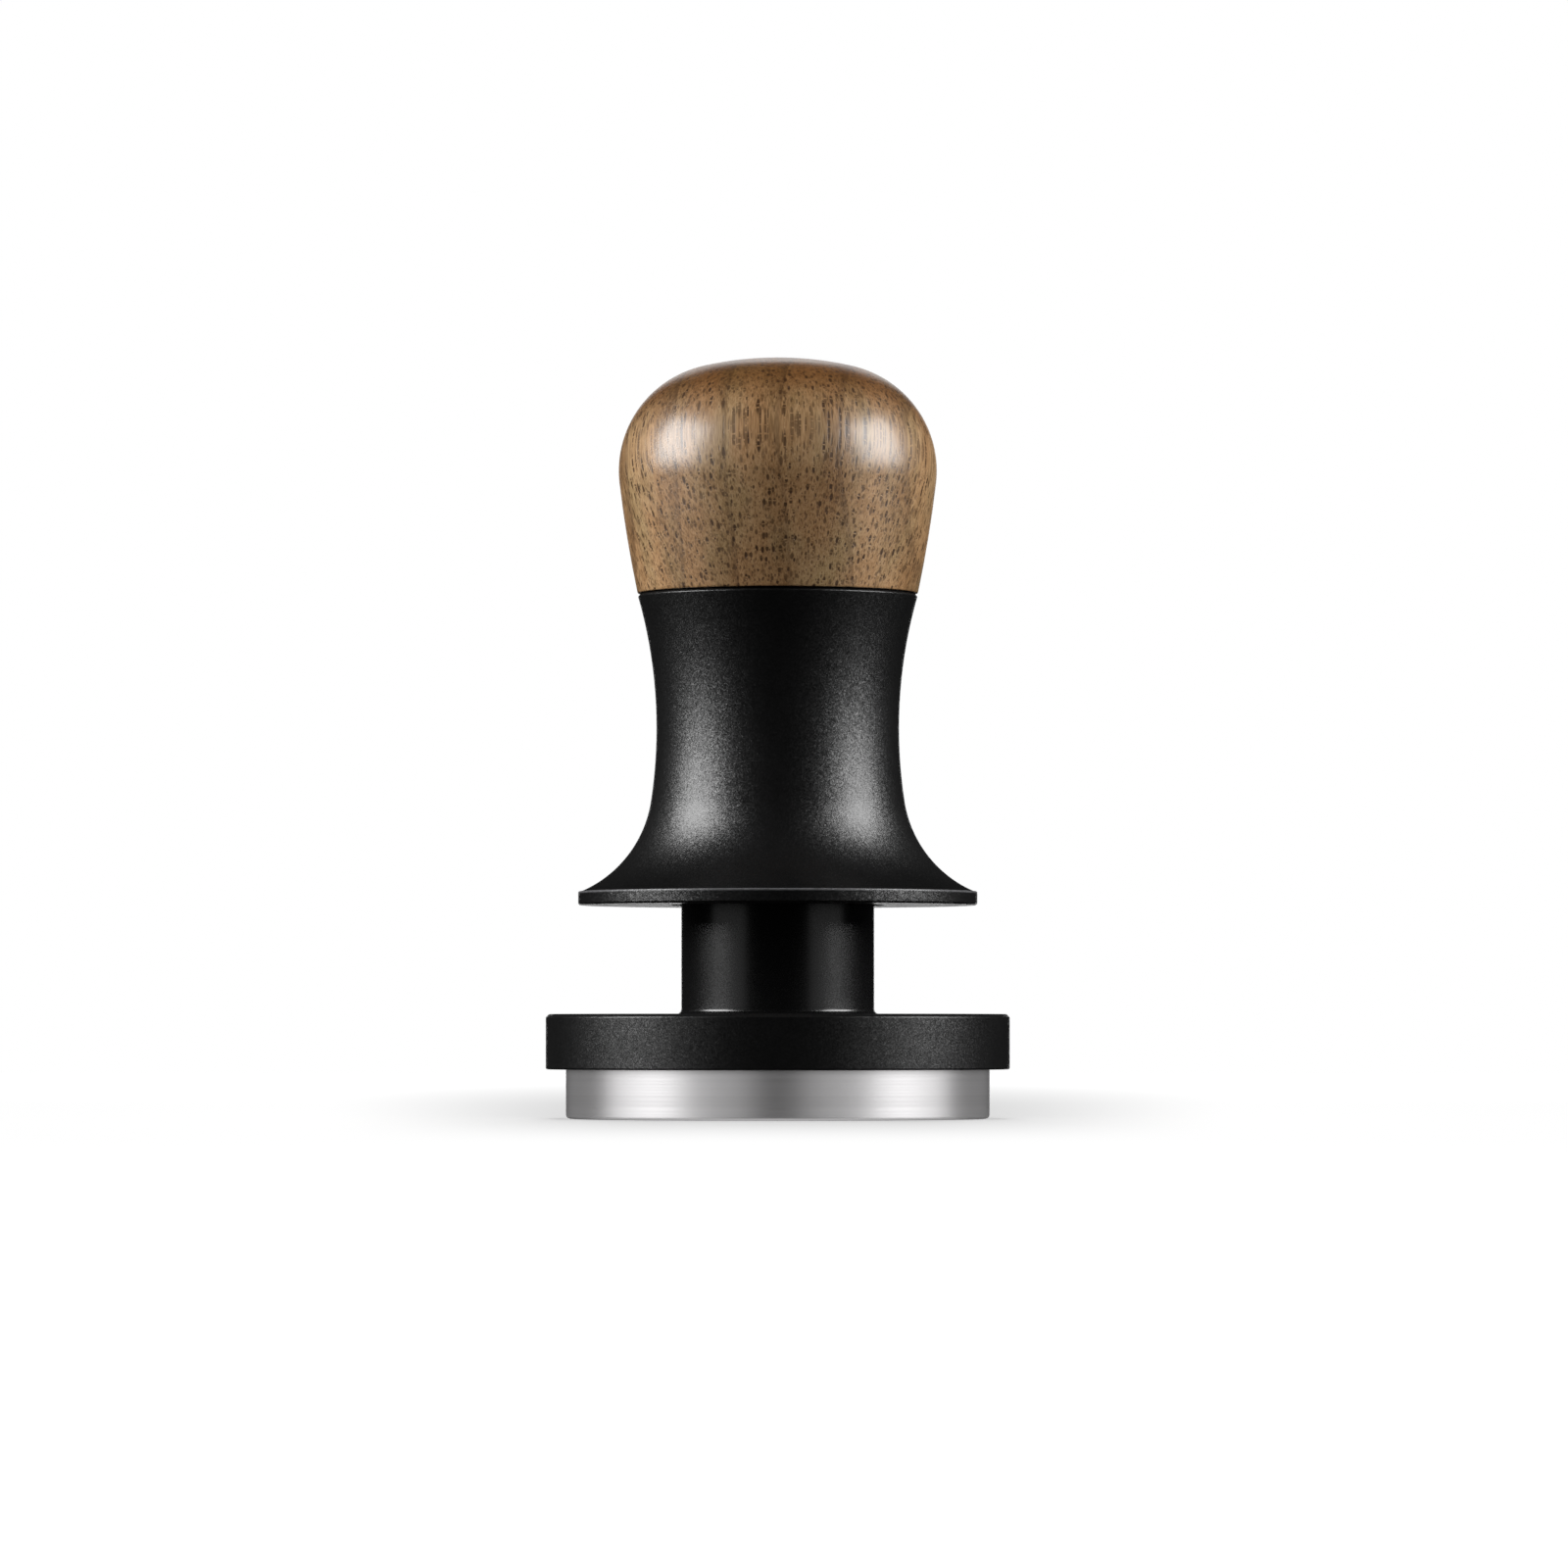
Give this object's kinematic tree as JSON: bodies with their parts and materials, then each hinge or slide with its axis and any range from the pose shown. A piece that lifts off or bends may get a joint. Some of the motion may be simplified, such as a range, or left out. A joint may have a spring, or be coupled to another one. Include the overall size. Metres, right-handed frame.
{
  "type": "espresso tamper",
  "caption": "Spring-loaded espresso tamper: walnut knob on a waisted black sleeve, with a levelling ring on a sliding tube over a flat round steel base.",
  "frame": {"origin": "middle of the tamping face, on the tamper's axis", "axes": "+Z along the axis, from the tamping face up to the knob; X and Y are any two directions across, since the tamper is turned"},
  "size_m": [0.064, 0.064, 0.1049],
  "materials": {
    "stainless_steel": "turned stainless steel, fine circular tool lines",
    "black_anodised": "bead-blasted and black anodised aluminium, satin",
    "walnut": "satin lacquered walnut, grain along the axis",
    "brass": "turned",
    "spring_steel": "oiled spring wire and strip",
    "silicone_rubber": "matt",
    "acetal": "natural white acetal, turned",
    "raw_aluminium": "turned"
  },
  "bodies": {
    "base": {"tamper_base": "stainless_steel", "base_seal_ring": "silicone_rubber", "centre_shaft": "stainless_steel", "piston": "brass", "piston_washer": "stainless_steel", "piston_screw": "stainless_steel", "shaft_clip": "spring_steel"},
    "spring_carrier": {"thrust_washer": "acetal", "main_spring": "spring_steel"},
    "handle": {"handle_sleeve": "black_anodised", "guide_bush": "acetal", "bush_snap_ring": "spring_steel", "spring_housing": "raw_aluminium", "stop_bumper": "silicone_rubber", "main_spring_seat": "stainless_steel", "housing_plug": "raw_aluminium", "knob_stud": "stainless_steel", "knob_insert": "brass", "wood_knob": "walnut"},
    "ring_spring_carrier": {"return_spring_seat": "stainless_steel", "return_spring": "spring_steel"},
    "levelling_ring_body": {"levelling_ring": "black_anodised", "ring_bush": "acetal", "tube_seal_ring": "silicone_rubber"}
  },
  "joints": [
    {"name": "handle_turn", "type": "hinge", "parent": "base", "child": "spring_carrier", "pos_m": [0, 0, 0.057], "axis": [0, 0, 1], "continuous": true},
    {"name": "handle_press", "type": "slide", "parent": "spring_carrier", "child": "handle", "axis": [0, 0, -1], "range_m": [0, 0.006], "stiffness_N_per_m": 12700, "springref_m": -0.0045, "deforming": ["main_spring"]},
    {"name": "ring_turn", "type": "hinge", "parent": "base", "child": "ring_spring_carrier", "pos_m": [0, 0, 0.039], "axis": [0, 0, 1], "continuous": true},
    {"name": "ring_lift", "type": "slide", "parent": "ring_spring_carrier", "child": "levelling_ring_body", "axis": [0, 0, 1], "range_m": [0, 0.0085], "stiffness_N_per_m": 250, "springref_m": -0.006, "deforming": ["return_spring"]}
  ]
}
